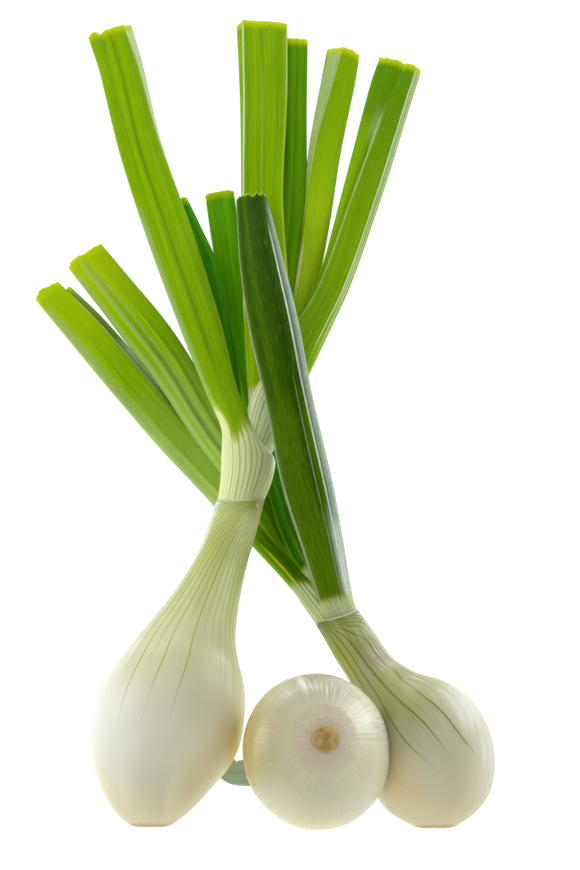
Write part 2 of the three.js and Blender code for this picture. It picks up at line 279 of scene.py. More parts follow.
def waves(seed, x, y, count=7, low=1, high=4):
    """A smooth, repeatable wobble between about -1 and 1."""
    rng = np.random.RandomState(seed)
    total = 0
    for _ in range(count):
        a, b = rng.uniform(low, high, 2) * rng.choice([-1, 1], 2)
        total = total + np.sin(a * x + b * y + rng.uniform(0, 2 * math.pi))
    return total / count**0.5 / 1.4


# ---- Leaves
WOBBLE = 0.18
CUT_REACH = 14
LINING_DEPTHS = [0, 0.4, 1.5, 4, 9, 16, 23]


def over(t, table):
    """A value that changes along the leaf: a number, or [(t, value), ...]."""
    if np.isscalar(table):
        return np.full_like(t, table)
    return np.interp(t, [p[0] for p in table], [p[1] for p in table])


def leaf(name, seed, sides=96, count=190, wall=0.7, square=0.65, folds=(), cut=((0, 0),), ragged=0.35,
         mouth=30, base_round=0, pale=None, lip=None):
    """A hollow flattened leaf, open at its cut tip, with a lining that ends `mouth` mm inside it.
    folds: (across, width, depth, steepness), where the first three may change along the leaf, and a positive
    depth is a groove. cut: extra length at places across. lip: (along, before, after, amount) of a corner
    on the right edge, growing and falling over mm."""
    sweep = Sweep(LEAVES[name], count)
    theta = columns(sides)[None, :]
    t = sweep.along[:, None] / sweep.length
    power = square + (1 - square) * smooth(t, base_round, 0) if base_round else np.full_like(t, square)
    across = np.sign(np.cos(theta)) * np.abs(np.cos(theta)) ** power
    face = np.sign(np.sin(theta)) * np.abs(np.sin(theta)) ** power
    side = across * sweep.wide[:, None]
    if lip:
        at, before, after, amount = lip
        rise = np.interp(sweep.along, [at - before, at, at + after], [0, 1, 0])[:, None]
        side = side + amount * rise**1.5 * smooth(across, 0.3, 1)
    sunk = np.zeros_like(side)
    for at, width, depth, steep in folds:
        gap = (across - over(t, at)) / over(t, width)
        sunk = sunk + over(t, depth) * smooth(face, -0.1, 0.5) * np.exp(-np.abs(gap) ** steep)
    wobble = waves(seed, theta, sweep.along[:, None] * 0.06, high=3)
    normal = face * sweep.thick[:, None] - sunk + WOBBLE * wobble * smooth(t, 0.02, 0.2)
    to_tip = sweep.length - sweep.along[:, None]
    extra = np.interp(across, [c[0] for c in cut], [c[1] for c in cut])
    extra = extra + ragged * waves(seed + 5, theta * 3, face * 0 + seed, count=9, high=6)
    ahead = extra * smooth(to_tip, CUT_REACH, 0)

    back = np.array([*LINING_DEPTHS, mouth])
    picks = np.interp(sweep.length - back, sweep.along, np.arange(count))
    low = np.floor(picks).astype(int)
    high = np.minimum(low + 1, count - 1)
    part = (picks - low)[:, None, None]
    thin = [half * (1 - wall / np.maximum(half, wall * 1.5)) for half in (sweep.wide, sweep.thick)]
    lining = sweep.rings(across * thin[0][:, None], face * thin[1][:, None] - sunk * 0.9, ahead)
    lining = lining[low] * (1 - part) + lining[high] * part
    rings = np.concatenate([sweep.rings(side, normal, ahead), lining])
    shape = rings.shape[:2]
    rows = np.broadcast_to(np.r_[sweep.along, sweep.length - back][:, None], shape)
    across, face = (np.vstack([values, values[high]]) for values in (across, face))
    inside = np.zeros(shape)
    inside[count:] = 1
    turns = np.arange(sides + 1) / sides
    piece = grid_piece(
        name + "_blade",
        rings,
        {
            "ring": np.stack([across, face, rows], -1),
            "tip": np.broadcast_to(np.vstack([to_tip, back[:, None]]), shape),
            "inside": inside,
            "pale": np.zeros(shape) if pale is None else pale(rows, across),
        },
        {"Rib": np.stack(np.broadcast_arrays(turns, rows[:, :1] * MM), -1)},
    )
    return finish_piece(piece, name)


def finish_piece(piece, node):
    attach(piece, "root")
    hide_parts(node)
    return piece


# ---- Bulbs
MARGIN_START = 0.55
STRAIGHT = 20


def bulb_piece(side, sweep, margin, source, relief, sides=192, stretch=None, wall=0.28, swirl=None):
    """A bulb's outer scale with its neck: closed at the root end, and open, with a thin margin, at the
    mouth. margin: how far the mouth is set back at each angle. source: (angle, width) of the point of the
    margin that the veins flow out from, where a small width makes them straighten soon. swirl: how far
    round the veins are turned, from the angle and the distance along."""
    start, quick = source
    theta = columns(sides, start - math.pi)
    count = len(sweep.along)
    back = margin(theta)[None, :]
    total = sweep.length
    # each column is resampled so that it ends at its own margin
    share = sweep.along[:, None] / total
    along = share * (total - back * smooth(share, MARGIN_START, 1))
    place = np.interp(along, sweep.along, np.arange(count))
    low = np.minimum(np.floor(place).astype(int), count - 2)
    part = (place - low)[..., None]

    def at(values):
        values = values if values.ndim == 2 else values[:, None]
        return values[low] * (1 - part) + values[low + 1] * part

    lobes = relief(theta[None, :], along)
    radius_w = at(sweep.wide)[..., 0] + lobes
    radius_t = at(sweep.thick)[..., 0] + lobes
    point, aside, normal = at(sweep.point), at(sweep.side), at(sweep.normal)
    cos, sin = np.cos(theta)[None, :], np.sin(theta)[None, :]

    def shell(inset):
        out = point + (cos * (radius_w - inset))[..., None] * aside
        return out + (sin * (radius_t - inset))[..., None] * normal

    lining = max(6, count // 20)

    def both(values):
        """Values on the outside, and again on the lining that runs back down inside the mouth."""
        return np.vstack([values, values[::-1][:lining]])

    def closed(values):
        """Values with the first column once more at the seam."""
        return np.hstack([values, values[:, :1]])

    rings = np.vstack([shell(0), shell(wall)[::-1][:lining]])
    if stretch is not None:
        rings = stretch(rings, both(along))
    to_mouth = np.maximum((total - back) - along, 0)
    steps = np.hypot(np.diff(radius_w, axis=0), np.diff(along, axis=0))
    arc = np.vstack([radius_w[:1], radius_w[:1] + np.cumsum(steps, axis=0)])
    turn = np.r_[theta, theta[0] + 2 * math.pi] - start
    deep = closed(to_mouth) + 0.02
    if swirl is not None:
        turn = turn - swirl(turn + start, closed(along))
    flow = np.arctan2(
        np.cos(turn / 2) * np.sinh(np.minimum(deep / (2 * quick), STRAIGHT)),
        np.sin(turn / 2) * np.cosh(np.minimum(deep / (2 * quick), STRAIGHT)),
    )
    psi = np.unwrap(np.unwrap(flow, axis=0), axis=1) / math.pi
    round_rate = np.diff(psi, axis=1) / (2 * math.pi / sides) / np.maximum(radius_w, 1)
    down_rate = np.gradient(psi[:, :-1], axis=0) / np.minimum(np.gradient(to_mouth, axis=0), -1e-3)
    crowding = np.hypot(round_rate, down_rate)
    turns = np.broadcast_to(np.arange(sides + 1) / sides, psi.shape)
    rows = closed(along) * MM
    piece = grid_piece(
        side + "_bulb_scale",
        rings,
        {
            "ring": np.stack(np.broadcast_arrays(cos, sin, both(along)), -1),
            "tip": both(to_mouth),
            "root": both(arc),
            "crowding": both(crowding),
        },
        {"Rib": both(np.stack([turns, rows], -1)), "Vein": both(np.stack([psi, deep * MM], -1))},
    )
    return finish_piece(piece, side + "_bulb")


# ---- Materials
class Nodes:
    """The nodes of a material or of the world. The colour is painted in layers."""

    def __init__(self, name, group="materials"):
        self.owner = getattr(bpy.data, group).new(name)
        self.owner.use_nodes = True
        self.tree = self.owner.node_tree
        self.tree.nodes.clear()
        self.colour = None

    def node(self, kind, inputs=(), **settings):
        """inputs: name or number -> another node's output, a number or a colour."""
        made = self.tree.nodes.new("ShaderNode" + kind)
        for key, value in settings.items():
            setattr(made, key, value)
        for key, value in dict(inputs).items():
            socket = made.inputs[key]
            if isinstance(value, bpy.types.NodeSocket):
                self.tree.links.new(value, socket)
            elif isinstance(value, tuple) and len(socket.default_value) == 4:
                socket.default_value = (*value, 1)
            else:
                socket.default_value = value
        return made

    def math(self, operation, *values):
        return self.node("Math", dict(enumerate(values)), operation=operation).outputs[0]

    def times(self, a, b):
        return self.math("MULTIPLY", a, b)

    def plus(self, a, b):
        return self.math("ADD", a, b)

    def minus(self, a, b):
        return self.math("SUBTRACT", a, b)

    def scaled(self, value, factor, start):
        """value * factor + start."""
        return self.math("MULTIPLY_ADD", value, factor, start)

    def smooth(self, value, low, high, bottom=0, top=1):
        inputs = dict(enumerate((value, low, high, bottom, top)))
        return self.node("MapRange", inputs, interpolation_type="SMOOTHSTEP").outputs[0]

    def mix(self, share, a, b):
        made = self.node("Mix", {0: share, 6: a, 7: b}, data_type="RGBA", clamp_factor=True)
        return made.outputs[2]

    def paint(self, tint, share, *more):
        """Lays a tint over the colour so far. The shares are multiplied together."""
        for factor in more:
            share = self.times(share, factor)
        self.colour = self.mix(share, self.colour, tint)

    def field(self, name, output="Fac"):
        """A value that the mesh carries at its points."""
        return self.node("Attribute", attribute_type="GEOMETRY", attribute_name=name).outputs[output]

    def axes(self, vector):
        return self.node("SeparateXYZ", {0: vector}).outputs

    def ring(self):
        """Across, face and distance along in mm."""
        return self.axes(self.field("ring", "Vector"))

    def uv(self, name):
        return self.axes(self.node("UVMap", uv_map=name).outputs[0])

    def vector(self, x, y, z):
        return self.node("CombineXYZ", {0: x, 1: y, 2: z}).outputs[0]

    def place(self):
        return self.node("TexCoord").outputs["Object"]

    def away(self, centre):
        """Distance in metres from a point given in the stations' millimetres."""
        middle = self.vector(*((centre + SHIFT) * MM))
        return self.node("VectorMath", {0: self.place(), 1: middle}, operation="DISTANCE").outputs["Value"]

    def noise(self, vector, scale, detail, roughness):
        inputs = {"Vector": vector, "Scale": scale, "Detail": detail, "Roughness": roughness}
        return self.node("TexNoise", inputs).outputs[0]

    def stretched(self, ring, around, along, seed, detail=3, roughness=0.6):
        """Noise with `around` features over the half width and `along` per mm of length."""
        x = self.scaled(ring[0], around, seed)
        return self.noise(self.vector(x, self.times(ring[1], around), self.times(ring[2], along)),
                          1, detail, roughness)

    def off_lane(self, lane):
        """How far a row of lanes is from the middle of its own lane, from 0 to 0.5."""
        return self.math("ABSOLUTE", self.minus(self.math("FRACT", lane), 0.5))

    def chance(self, number):
        """One random value for each whole number."""
        return self.node("TexWhiteNoise", {"W": number}, noise_dimensions="1D").outputs[0]

    def line(self, value, centre, width, soft):
        """1 on a line where value is centre, falling to 0 at width."""
        gap = self.math("ABSOLUTE", self.minus(value, centre))
        return self.smooth(gap, width, width * (1 - soft))

    def bump(self, height, strength, distance):
        return self.node("Bump", {"Height": height, "Strength": strength, "Distance": distance}).outputs[0]

    def finish(self, roughness, normal, **sockets):
        sockets = {"Base_Color": self.colour, "Roughness": roughness, "Normal": normal, **sockets}
        inputs = {key.replace("_", " "): value for key, value in sockets.items()}
        self.node("OutputMaterial", {0: self.node("BsdfPrincipled", inputs).outputs[0]})
        return self.owner


CREAM = (0.7, 0.68, 0.49)
SHADE = (0.62, 0.6, 0.42)
PEARL = (0.72, 0.73, 0.62)
OLIVE = (0.42, 0.42, 0.25)
DUSK = (0.5, 0.48, 0.3)
# painted warm glow, standing for light that shines through the skin low on a bulb
WARM_GLOW = (0.98, 0.76, 0.34)
# painted light: the white of the side that the light falls on
LIT_SIDE_WHITE = (0.8, 0.84, 0.84)
# painted highlight colour for the streaks where the dry skin shines
SHINE = (0.88, 0.9, 0.86)
RAY = (0.8, 0.79, 0.64)
ROSE = (0.58, 0.45, 0.33)
STAIN = (0.4, 0.27, 0.11)
VEIN = (0.33, 0.38, 0.02)
TIP_YELLOW = (0.5, 0.62, 0)
CUT_EDGE = (0.62, 0.7, 0.06)
BLUSH = (0.42, 0.5, 0.04)
LINING = (0.6, 0.7, 0.25)
# painted shade deep inside a hollow leaf
HOLLOW_SHADE = (0.05, 0.12, 0.01)
RIB_LINES = 84


def leaf_material(name, dark, light, seed, marks=(), pale=(0.66, 0.7, 0.42), stripes=26,
                  stripe_tint=(0.3, 0.41, 0.03), edge=(0.26, 0.42, 0.01), edge_share=0.3,
                  tip=TIP_YELLOW, tip_depth=5, bloom=None, line_tint=(0.4, 0.55, 0),
                  line_share=0.3, fresh=None, rim=None, comb_depth=1.3, cloudy=0.16, mottle=0.14):
    """marks: (across at base, across at tip, width, softness, colour, share, along from, to) lines that
    run along the blade, some of them painted highlights, painted sheen and painted shadow. bloom: (far,
    near, since, colour, share) of paler green between distances along.
    fresh: (reach, colour, share) of younger green at the tip. rim: (since, until, width, colour) of a
    painted highlight along the right edge of the sheath. comb_depth: how far the green reaches down between
    the sheath's stripes.
    cloudy, mottle: shares of the coarse and the fine dark patches."""
    n = Nodes(name)
    ring = n.ring()
    to_tip = n.field("tip")
    broad = n.stretched(ring, 2.2, 0.006, seed, 2, 0.5)
    rib = n.stretched(ring, 15, 0.012, seed + 3)
    fine = n.stretched(ring, 42, 0.02, seed + 7, 2)
    cloud = n.stretched(ring, 5, 0.16, seed + 11)
    tone = n.plus(n.times(broad, 0.4), n.times(rib, 0.6))
    n.colour = n.mix(n.smooth(tone, 0.3, 0.7), dark, light)
    if bloom:
        far, near, since, tint, amount = bloom
        window = n.times(n.smooth(ring[2], far, near), n.smooth(ring[2], since - 12, since + 12))
        n.paint(tint, window, n.smooth(rib, 0.25, 0.65, 0.4), amount)
    # fine ribs, of which some are picked out lighter and some darker
    turns = n.uv("Rib")[0]
    bend = n.minus(broad, 0.5)
    row = n.scaled(turns, RIB_LINES, n.times(bend, 1.2))
    picked = n.chance(n.math("FLOOR", row))
    vein = n.times(n.smooth(n.off_lane(row), 0.42, 0.1), n.smooth(rib, 0.3, 0.6, 0.5))
    n.paint(line_tint, vein, n.smooth(picked, 0.55, 0.95, 0, line_share))
    n.paint(dark, vein, n.smooth(picked, 0.3, 0, 0, 0.4))
    n.paint(dark, n.smooth(cloud, 0.55, 0.75), cloudy)
    n.paint(dark, n.smooth(fine, 0.52, 0.68, 0, 0.45))
    n.paint(line_tint, n.smooth(fine, 0.46, 0.32, 0, 0.35))
    if fresh:
        reach, tint, amount = fresh
        n.paint(tint, n.smooth(to_tip, reach, 0, 0, amount))
    n.paint(edge, n.smooth(n.math("ABSOLUTE", ring[0]), 0.82, 1), edge_share)
    whole = n.math("MAXIMUM", n.plus(to_tip, ring[2]), 1)
    t = n.minus(1, n.math("DIVIDE", to_tip, whole))
    broken = n.smooth(rib, 0.3, 0.55, 0.4)
    upper = n.smooth(ring[1], -0.2, 0.2)
    # lines along the blade, some of them painted highlights, painted sheen and painted shadow
    for start, end, width, soft, mark, share, since, until in marks:
        strength = n.line(ring[0], n.scaled(t, end - start, start), width, soft)
        n.paint(mark, strength, n.smooth(t, since - 0.04, since + 0.04),
                n.smooth(t, until + 0.04, until - 0.04), upper, share, broken)
    fleck = n.stretched(ring, 26, 0.2, seed + 15)
    n.paint(dark, n.smooth(fleck, 0.5, 0.64, 0, mottle))
    n.paint(line_tint, n.smooth(fleck, 0.48, 0.36, 0, mottle * 0.6))
    # the pale sheath with its stripes, and the green that reaches down into it along them
    faded = n.field("pale")
    n.paint(BLUSH, n.smooth(faded, 0, 0.45), 0.7)
    lane = n.scaled(turns, stripes, n.times(bend, 2))
    off = n.off_lane(lane)
    uneven = n.smooth(n.chance(n.math("FLOOR", lane)), -0.2, 0.7, 0.3, 1)
    skin = n.mix(n.times(n.times(n.smooth(off, 0.24, 0.06), uneven), 0.8), pale, stripe_tint)
    skin = n.mix(n.times(n.smooth(fine, 0.45, 0.75), 0.3), skin, PEARL)
    comb = n.scaled(n.minus(off, 0.25), comb_depth, faded)
    comb = n.scaled(n.minus(rib, 0.5), 0.6, comb)
    n.paint(skin, n.smooth(comb, 0.3, 0.7), n.smooth(faded, 0.02, 0.2))
    # a painted highlight along the sheath's right edge
    if rim:
        since, until, width, tint = rim
        n.paint(tint, n.smooth(ring[0], 1 - width, 1 - width * 0.4),
                n.smooth(ring[2], since, since + 4), n.smooth(ring[2], until, until - 4))
    # the cut tip, and the lining that shows inside it, painted darker further in as shade
    ragged = n.scaled(n.minus(rib, 0.5), 5, to_tip)
    n.paint(tip, n.smooth(ragged, tip_depth, tip_depth * 0.15), 0.9)
    n.paint(CUT_EDGE, n.smooth(to_tip, 0.5, 0.1))
    lining = n.mix(n.smooth(to_tip, 2, 22), n.mix(0.5, light, LINING), HOLLOW_SHADE)
    n.paint(lining, n.field("inside"))
    height = n.plus(n.times(rib, 0.7), n.times(fine, 0.3))
    return n.finish(
        n.smooth(cloud, 0.3, 0.7, 0.31, 0.46), n.bump(height, 0.45, 0.0006), Specular_IOR_Level=0.02,
        Subsurface_Weight=0.1, Subsurface_Radius=(0.6, 1, 0.25), Subsurface_Scale=0.003,
    )


def bulb_material(name, seed, veins, neck_tint=(0.5, 0.54, 0.22), neck_share=0.9, neck_reach=90,
                  vein=VEIN, vein_width=0.3, share=0.8, fade=(40, 85), wander=0.5, phase=0,
                  thin=0.25, least=0.4, lean=0, silk=0.45, flank=None, girdle=None,
                  root_stain=(9.5, 6.5), stain_share=0.75, halo=(14, 8, 0.25),
                  gloss=(0.34, 0.46), grain=0.12, specular=0.35, tints=(), spots=(), glints=()):
    """veins: how many go round. fade: distances below the mouth where they fade. thin: share of a second,
    finer set. least: strength of the faintest vein. lean: how much sooner they fade on the right, in mm.
    flank: (side from, side to, share) of painted light that whitens one side. girdle: (depth in mm,
    colour, share) of a line that runs round below the mouth. tints: (centre, reach, colour, share) in mm
    of soft patches under the veins, many of them painted light, painted shade and painted warm glow, and
    spots: the same, small and over them, some of them painted highlights. glints: (centre, reach, share)
    of painted highlights in streaks where the dry skin shines."""
    n = Nodes(name)
    ring = n.ring()
    from_root = n.field("root")
    crowding = n.field("crowding")
    broad = n.stretched(ring, 1.3, 0.02, seed, 2, 0.5)
    fibre = n.stretched(ring, 16, 0.01, seed + 2)
    fine = n.stretched(ring, 46, 0.02, seed + 5, 2)
    blotch = n.stretched(ring, 4, 0.06, seed + 9)
    wrinkle = n.stretched(ring, 13, 0.06, seed + 12)
    n.colour = n.mix(n.smooth(broad, 0.35, 0.65), CREAM, SHADE)
    n.paint(OLIVE, n.smooth(fibre, 0.48, 0.72), 0.06)
    n.paint(DUSK, n.smooth(blotch, 0.5, 0.75), 0.08)
    flow, below = n.uv("Vein")[:2]
    depth = n.times(below, 1 / MM)
    neck = n.smooth(depth, neck_reach, neck_reach * 0.1)
    n.paint(neck_tint, neck, neck_share)
    n.paint(PEARL, n.smooth(fine, 0.45, 0.7), neck, silk)
    # painted light that whitens one side of the bulb
    if flank:
        n.paint(LIT_SIDE_WHITE, n.smooth(ring[0], flank[0], flank[1]), neck, flank[2])
    # soft patches, many of them painted light, painted shade and painted warm glow
    for centre, reach, tint, amount in tints:
        n.paint(tint, n.smooth(n.away(centre), reach * MM, 0, 0, amount))
    bend = n.times(n.minus(broad, 0.5), wander)
    sooner = n.plus(depth, n.smooth(ring[0], -0.3, 0.9, 0, lean))
    for count, width, strong, offset in (
        (veins, vein_width, share, phase), (veins * 2, vein_width * 0.6, share * thin, 0.31),
    ):
        lane = n.plus(n.scaled(flow, count, bend), offset)
        distance = n.math("DIVIDE", n.off_lane(lane), n.times(crowding, count))
        chance = n.chance(n.plus(n.math("FLOOR", lane), seed * 3))
        lasting = n.scaled(n.minus(chance, 0.5), fade[0] - fade[1], sooner)
        n.paint(vein, n.smooth(distance, width, width * 0.35), n.smooth(chance, 0, 0.7, least),
                n.smooth(lasting, fade[1], fade[0]), strong)
    if girdle:
        n.paint(girdle[1], n.line(depth, girdle[0], 0.45, 0.7), girdle[2])
    # small patches over the veins, some of them painted highlights
    for centre, reach, tint, amount in spots:
        n.paint(tint, n.smooth(n.away(centre), reach * MM, reach * MM * 0.5, 0, amount))
    far, near, amount = halo
    n.paint(ROSE, n.smooth(from_root, far, near), amount)
    n.paint(RAY, n.smooth(from_root, 22, 9), n.smooth(fine, 0.42, 0.66), 0.25)
    streaks = n.scaled(n.minus(fibre, 0.5), 3, from_root)
    n.paint(STAIN, n.smooth(streaks, *root_stain), stain_share)
    n.paint(SHADE, n.smooth(n.field("tip"), 0.9, 0.3), 0.8)
    # painted highlights in streaks
    for centre, reach, amount in glints:
        n.paint(SHINE, n.smooth(n.away(centre), reach * MM, 0), n.smooth(wrinkle, 0.44, 0.6), amount)
    height = n.plus(n.plus(n.times(fibre, 0.6), n.times(blotch, 0.8)), n.times(wrinkle, 0.5))
    return n.finish(
        n.smooth(blotch, 0.3, 0.7, *gloss), n.bump(height, grain, 0.0004), Specular_IOR_Level=specular,
        Subsurface_Weight=0.3, Subsurface_Radius=(1, 0.72, 0.3), Subsurface_Scale=0.005,
    )


def root_material(name, seed):
    """A tan disc with darker root scars in rings."""
    n = Nodes(name)
    grain = n.noise(n.place(), 1400, 4, 0.6)
    coarse = n.noise(n.place(), 420, 2, 0.5)
    share = n.field("share")
    turns = n.uv("Rib")[0]
    n.colour = n.mix(n.smooth(coarse, 0.35, 0.65), (0.4, 0.26, 0.07), (0.56, 0.39, 0.15))
    n.paint((0.58, 0.45, 0.22), n.smooth(share, 0.7, 0.88, 0, 0.8))
    for ring_at, count, shift in ((0.8, 21, seed * 0.3), (0.94, 27, seed * 0.7)):
        lane = n.scaled(turns, count, shift)
        away = n.math("DIVIDE", n.minus(n.math("FRACT", lane), 0.5), count * 0.16)
        aside = n.minus(share, ring_at)
        gap = n.math("SQRT", n.plus(n.math("POWER", away, 2), n.math("POWER", aside, 2)))
        n.paint((0.34, 0.19, 0.06), n.smooth(gap, 0.08, 0.01, 0, 0.6))
    n.paint((0.24, 0.13, 0.04), n.smooth(grain, 0.5, 0.75), 0.3)
    return n.finish(n.smooth(grain, 0.3, 0.7, 0.7, 0.9), n.bump(grain, 0.3, 0.0003),
                    Specular_IOR_Level=0.3)


# ---- Leaves of the bunch
YELLOW_LINE = (0.62, 0.7, 0.03)
# the waxy bloom's grey-green, paler with painted sheen
WAX_AND_SHEEN = (0.36, 0.47, 0.22)
# painted highlight along a leaf's rim
EDGE_HIGHLIGHT = (0.74, 0.84, 0.58)
# painted highlight lines
GLOSS_LINE = (0.75, 0.84, 0.62)
# painted sheen streaks
SILVER_SHEEN = (0.6, 0.7, 0.66)


def pale_until(low, high, slope=0):
    """Sheath colour that fades out between two distances along, sooner by `slope` mm towards the right edge,
    or by the values of a table [(across, mm), ...]."""
    def fade(along, across):
        sooner = slope * across if np.isscalar(slope) else over(across, slope)
        return smooth(along + sooner, high, low)
    return fade


# What leaf() and leaf_material() are given for each leaf.
SHAPES, LOOKS = {}, {}

SHAPES["left_leaf_1"] = dict(
    count=260, square=0.62, base_round=0.3, seed=11, lip=(27.5, 18, 8, 3),
    pale=pale_until(36, 56, [(-1, -8), (-0.75, -2), (-0.45, 12), (-0.15, 12), (0.2, 8), (0.7, 7), (1, 7)]),
    folds=[
        (-0.06, 0.16, [(0, 0), (0.25, 0), (0.4, 0.7), (1, 0.9)], 1.4),
        (-0.45, 0.12, [(0, 0), (0.9, 0), (1, 1.6)], 1.5),
        (0.8, 0.22, [(0, 0), (0.6, 0), (0.8, 0.5), (1, 0.9)], 2),
    ],
    cut=((-1, -0.5), (-0.75, 0.8), (-0.45, -0.4), (-0.2, 0.6), (0.6, 1.2), (0.66, 0.9), (1, 0.9)),
)
LOOKS["left_leaf_1"] = dict(
    # rim: a painted highlight along the sheath's right edge
    dark=(0.13, 0.31, 0), light=(0.3, 0.5, 0), rim=(22, 46, 0.12, (0.88, 0.9, 0.8)),
    comb_depth=0.4, stripes=34, pale=(0.74, 0.78, 0.42), stripe_tint=(0.4, 0.5, 0.01),
    marks=[
        # painted shade along the middle groove, a painted highlight on the folded right edge near the tip,
        # and the waxy bloom with painted sheen on the left edge
        (-0.1, -0.06, 0.14, 1, (0.07, 0.2, 0.003), 0.6, 0.3, 1.1),
        (1.9, 0.86, 0.26, 0.4, (0.66, 0.75, 0.48), 0.85, 0.62, 1.1),
        (-1, -0.95, 0.25, 1, WAX_AND_SHEEN, 0.6, 0.1, 0.62),
    ],
)

SHAPES["left_leaf_2"] = dict(
    sides=56, count=140, square=0.7, seed=12, wall=0.45, mouth=14, ragged=0.2, folds=[(0.1, 0.25, 0.5, 1.5)],
)
LOOKS["left_leaf_2"] = dict(
    dark=(0.02, 0.2, 0), light=(0.055, 0.36, 0),
    marks=[(-0.9, -0.7, 0.2, 0.8, YELLOW_LINE, 0.6, 0.8, 1.1)],
)

SHAPES["left_leaf_3"] = dict(
    count=240, square=0.62, base_round=0.3, seed=13, pale=pale_until(43, 50),
    folds=[
        ([(0, -1.2), (0.45, -0.9), (0.6, -0.63), (0.72, -0.42), (0.86, -0.25), (1, 0.2)], 0.12,
         [(0, 0), (0.4, 0.5), (0.8, 1.2), (1, 1)], 1.3),
        (0.72, 0.12, [(0, 0), (0.4, -0.3), (1, -0.5)], 1.6),
    ],
    cut=((-1, 0.6), (0.1, 0.2), (0.2, -0.5), (0.3, 0.4), (1, -1.6)),
)
LOOKS["left_leaf_3"] = dict(
    dark=(0.12, 0.27, 0), light=(0.23, 0.4, 0), stripe_tint=(0.26, 0.4, 0),
    fresh=(110, (0.08, 0.24, 0), 0.8),
    marks=[
        # painted light: the folded flap painted lighter green, with a painted highlight along its rim and a
        # painted highlight patch further up
        (-2, -0.5, 0.5, 0.6, (0.24, 0.5, 0), 0.6, 0.3, 0.84),
        (-1.35, 0.1, 0.07, 0.9, (0.5, 0.64, 0.22), 0.8, 0.35, 0.86),
        (-0.35, -0.25, 0.3, 1, (0.52, 0.66, 0.3), 0.5, 0.8, 0.86),
        # painted highlight lines along the right edge
        (0.72, 0.8, 0.045, 0.6, GLOSS_LINE, 0.8, 0.3, 1.1),
        (0.82, 0.89, 0.06, 0.8, (0.7, 0.8, 0.55), 0.5, 0.4, 1.1),
        (0.93, 0.96, 0.03, 0.6, GLOSS_LINE, 0.6, 0.3, 1),
    ],
)

SHAPES["left_leaf_4"] = dict(
    count=230, square=0.5, base_round=0.2, seed=14, pale=pale_until(16, 28),
    folds=[
        (0.05, 0.35, [(0, 0), (0.4, 0.3), (1, 0.5)], 2),
        ([(0, -0.98), (1, -0.76)], 0.07, [(0, 0), (0.3, -0.4), (1, -0.6)], 1.6),
    ],
    cut=((-1, -1.4), (-0.8, -0.3), (-0.7, 0.9), (0.2, 0.4), (1, -1)),
)
LOOKS["left_leaf_4"] = dict(
    dark=(0.13, 0.3, 0), light=(0.24, 0.44, 0), bloom=(110, 30, -12, (0.38, 0.54, 0), 0.5),
    marks=[
        # a painted highlight line on the left rim
        (-1.08, -0.76, 0.045, 0.6, EDGE_HIGHLIGHT, 0.85, 0.3, 1.1),
        (-0.08, -0.05, 0.02, 0.8, (0.5, 0.62, 0.2), 0.5, 0.35, 0.9),
        (0.95, 0.97, 0.04, 0.6, (0.6, 0.74, 0.3), 0.6, 0.8, 1.1),
        (0.95, 0.93, 0.04, 0.6, (0.5, 0.56, 0.04), 0.5, 0.3, 0.8),
    ],
)

SHAPES["left_leaf_5"] = dict(
    sides=64, square=0.6, seed=15, wall=0.5, folds=[(-0.2, 0.3, 0.4, 1.6)], cut=((-1, 0.4), (1, -0.6)),
)
LOOKS["left_leaf_5"] = dict(dark=(0.05, 0.2, 0), light=(0.13, 0.33, 0))

SHAPES["left_leaf_6"] = dict(
    sides=72, square=0.6, seed=16, wall=0.55,
    folds=[([(0, -1.2), (0.75, -0.6), (1, 0.1)], 0.12, [(0, 0), (0.5, -0.5), (1, -1)], 1.4)],
    cut=((-1, -0.6), (0.1, 0.9), (1, -1.4)),
)
LOOKS["left_leaf_6"] = dict(
    dark=(0.14, 0.31, 0), light=(0.27, 0.45, 0), bloom=(160, 70, -12, (0.45, 0.67, 0.01), 1),
    marks=[
        (-2.6, -0.45, 0.5, 0.6, (0.46, 0.58, 0.26), 0.75, 0.62, 1.1),
        (-1.9, -0.12, 0.05, 0.8, (0.56, 0.66, 0.36), 0.6, 0.5, 1.1),
        (-0.78, -0.78, 0.22, 0.8, (0.78, 0.7, 0.48), 0.8, 0.36, 0.46),
    ],
)

